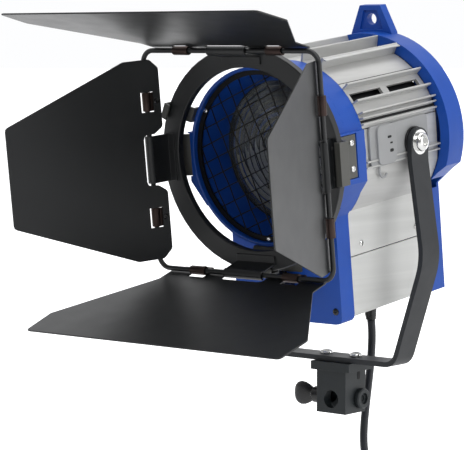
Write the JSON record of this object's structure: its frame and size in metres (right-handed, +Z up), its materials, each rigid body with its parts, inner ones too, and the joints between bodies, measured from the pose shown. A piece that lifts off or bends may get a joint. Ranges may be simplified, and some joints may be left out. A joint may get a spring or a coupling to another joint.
{
  "type": "fresnel spotlight",
  "caption": "Studio fresnel spotlight with rotating barndoor leaves, tilting in a stirrup on a stand socket, with focus drive and mains cord.",
  "frame": {"origin": "middle of the lower face of the stand socket", "axes": "+Z up, the lamp shines towards -Y, +X is the side of the hexagon-socket pivot bolt"},
  "size_m": [0.2525, 0.3352, 0.5438],
  "materials": {
    "lamp_blue": "satin powder coat on aluminium casting",
    "lamp_aluminium": "satin anodised extrusion and sheet",
    "stirrup_grey": "satin dark grey powder coat",
    "socket_black": "satin black",
    "grey_casting": "bead-blasted casting",
    "clip_grey": "satin dark grey",
    "door_black": "matt high-temperature black",
    "clip_metal": "bare spring steel, heat tinted",
    "guard_black": "matt black",
    "bright_steel": "polished plating",
    "carriage_aluminium": "mill finish",
    "reflector_metal": "polished aluminium",
    "knob_black": "moulded, fine texture",
    "cord_rubber": "matt rubber sheath",
    "lens_glass": "pressed borosilicate, clear",
    "lamp_glass": "clear quartz",
    "ceramic": "unglazed steatite"
  },
  "bodies": {
    "stirrup": {"stirrup": "stirrup_grey", "cap_plate": "socket_black", "socket_block": "socket_black", "strap_bolt_left": "bright_steel", "strap_bolt_right": "bright_steel", "clamp_screw": "socket_black", "mains_cord": "cord_rubber", "cord_coil": "cord_rubber", "cord_tail": "cord_rubber", "mains_plug": "knob_black", "coil_tie": "knob_black"},
    "socket_lock": {"lock_handle": "knob_black"},
    "tilt_lever": {"tilt_lock_lever": "knob_black"},
    "lamphouse": {"front_casting": "lamp_blue", "shell": "lamp_aluminium", "rear_casting": "lamp_blue", "lower_cover": "lamp_aluminium", "side_skirt_left": "lamp_aluminium", "side_skirt_right": "lamp_aluminium", "pivot_bracket_left": "grey_casting", "pivot_bracket_right": "grey_casting", "friction_washer_left": "knob_black", "friction_washer_right": "knob_black", "pivot_bolt": "bright_steel", "tilt_stud": "bright_steel", "accessory_clip_left": "clip_grey", "accessory_clip_right": "clip_grey", "accessory_clip_lower": "clip_grey", "latch_mount": "clip_grey", "wire_guard": "guard_black", "fresnel_lens": "lens_glass", "lens_ring": "guard_black", "guide_rail_left": "bright_steel", "guide_rail_right": "bright_steel", "terminal_block": "ceramic", "cable_gland": "knob_black"},
    "latch": {"ring_latch": "clip_grey"},
    "focus_drive": {"focus_spindle": "bright_steel", "focus_knob_front": "knob_black", "focus_knob_rear": "knob_black"},
    "carriage": {"lamp_carriage": "carriage_aluminium", "lamp_holder": "ceramic", "halogen_lamp": "lamp_glass", "reflector": "reflector_metal"},
    "barndoor": {"door_ring": "door_black", "rod_frame": "door_black"},
    "leaf_right": {"leaf_right": "door_black", "leaf_clip_right_1": "clip_metal", "leaf_clip_right_2": "clip_metal"},
    "leaf_top": {"leaf_top": "door_black", "leaf_clip_top_1": "clip_metal", "leaf_clip_top_2": "clip_metal"},
    "leaf_left": {"leaf_left": "door_black", "leaf_clip_left_1": "clip_metal", "leaf_clip_left_2": "clip_metal"},
    "leaf_bottom": {"leaf_bottom": "door_black", "leaf_clip_bottom_1": "clip_metal", "leaf_clip_bottom_2": "clip_metal"}
  },
  "joints": [
    {"name": "tilt", "type": "hinge", "parent": "stirrup", "child": "lamphouse", "pos_m": [0, 0, 0.2131], "axis": [1, 0, 0], "range_deg": [-45, 30], "deforming": ["mains_cord"]},
    {"name": "socket_lock_turn", "type": "hinge", "parent": "stirrup", "child": "socket_lock", "pos_m": [-0.014, 0, 0.011], "axis": [1, 0, 0], "range_deg": [-180, 180]},
    {"name": "tilt_lock_turn", "type": "hinge", "parent": "lamphouse", "child": "tilt_lever", "pos_m": [0, 0, 0.2131], "axis": [1, 0, 0], "range_deg": [-35, 60]},
    {"name": "latch_open", "type": "hinge", "parent": "lamphouse", "child": "latch", "pos_m": [-0.06435, -0.08026, 0.23572], "axis": [-0.4226, 0.1078, -0.8999], "range_deg": [0, 25], "stiffness_Nm_per_rad": 0.3, "springref_deg": -20.05},
    {"name": "focus_turn", "type": "hinge", "parent": "lamphouse", "child": "focus_drive", "pos_m": [0, -0.00324, 0.11401], "axis": [0, 0.9929, 0.1189], "range_deg": [-300.1, 300.1]},
    {"name": "carriage_slide", "type": "slide", "parent": "lamphouse", "child": "carriage", "axis": [0, 0.9929, 0.1189], "range_m": [-0.02, 0.02]},
    {"name": "barndoor_turn", "type": "hinge", "parent": "lamphouse", "child": "barndoor", "pos_m": [0, -0.11442, 0.20141], "axis": [0, 0.9929, 0.1189], "continuous": true},
    {"name": "leaf_right_swing", "type": "hinge", "parent": "barndoor", "child": "leaf_right", "pos_m": [0.0828, -0.12942, 0.19961], "axis": [0, -0.1189, 0.9929], "range_deg": [-54.7, 55.3]},
    {"name": "leaf_top_swing", "type": "hinge", "parent": "barndoor", "child": "leaf_top", "pos_m": [0, -0.13926, 0.28183], "axis": [-1, 0, 0], "range_deg": [-30.4, 56.6]},
    {"name": "leaf_left_swing", "type": "hinge", "parent": "barndoor", "child": "leaf_left", "pos_m": [-0.0828, -0.12942, 0.19961], "axis": [0, 0.1189, -0.9929], "range_deg": [-61.6, 48.4]},
    {"name": "leaf_bottom_swing", "type": "hinge", "parent": "barndoor", "child": "leaf_bottom", "pos_m": [0, -0.11957, 0.1174], "axis": [1, 0, 0], "range_deg": [-24.3, 62.7]}
  ],
  "couplings": [
    {"joint": "focus_turn", "follows": "carriage_slide", "rad_per_m": 261.8}
  ]
}
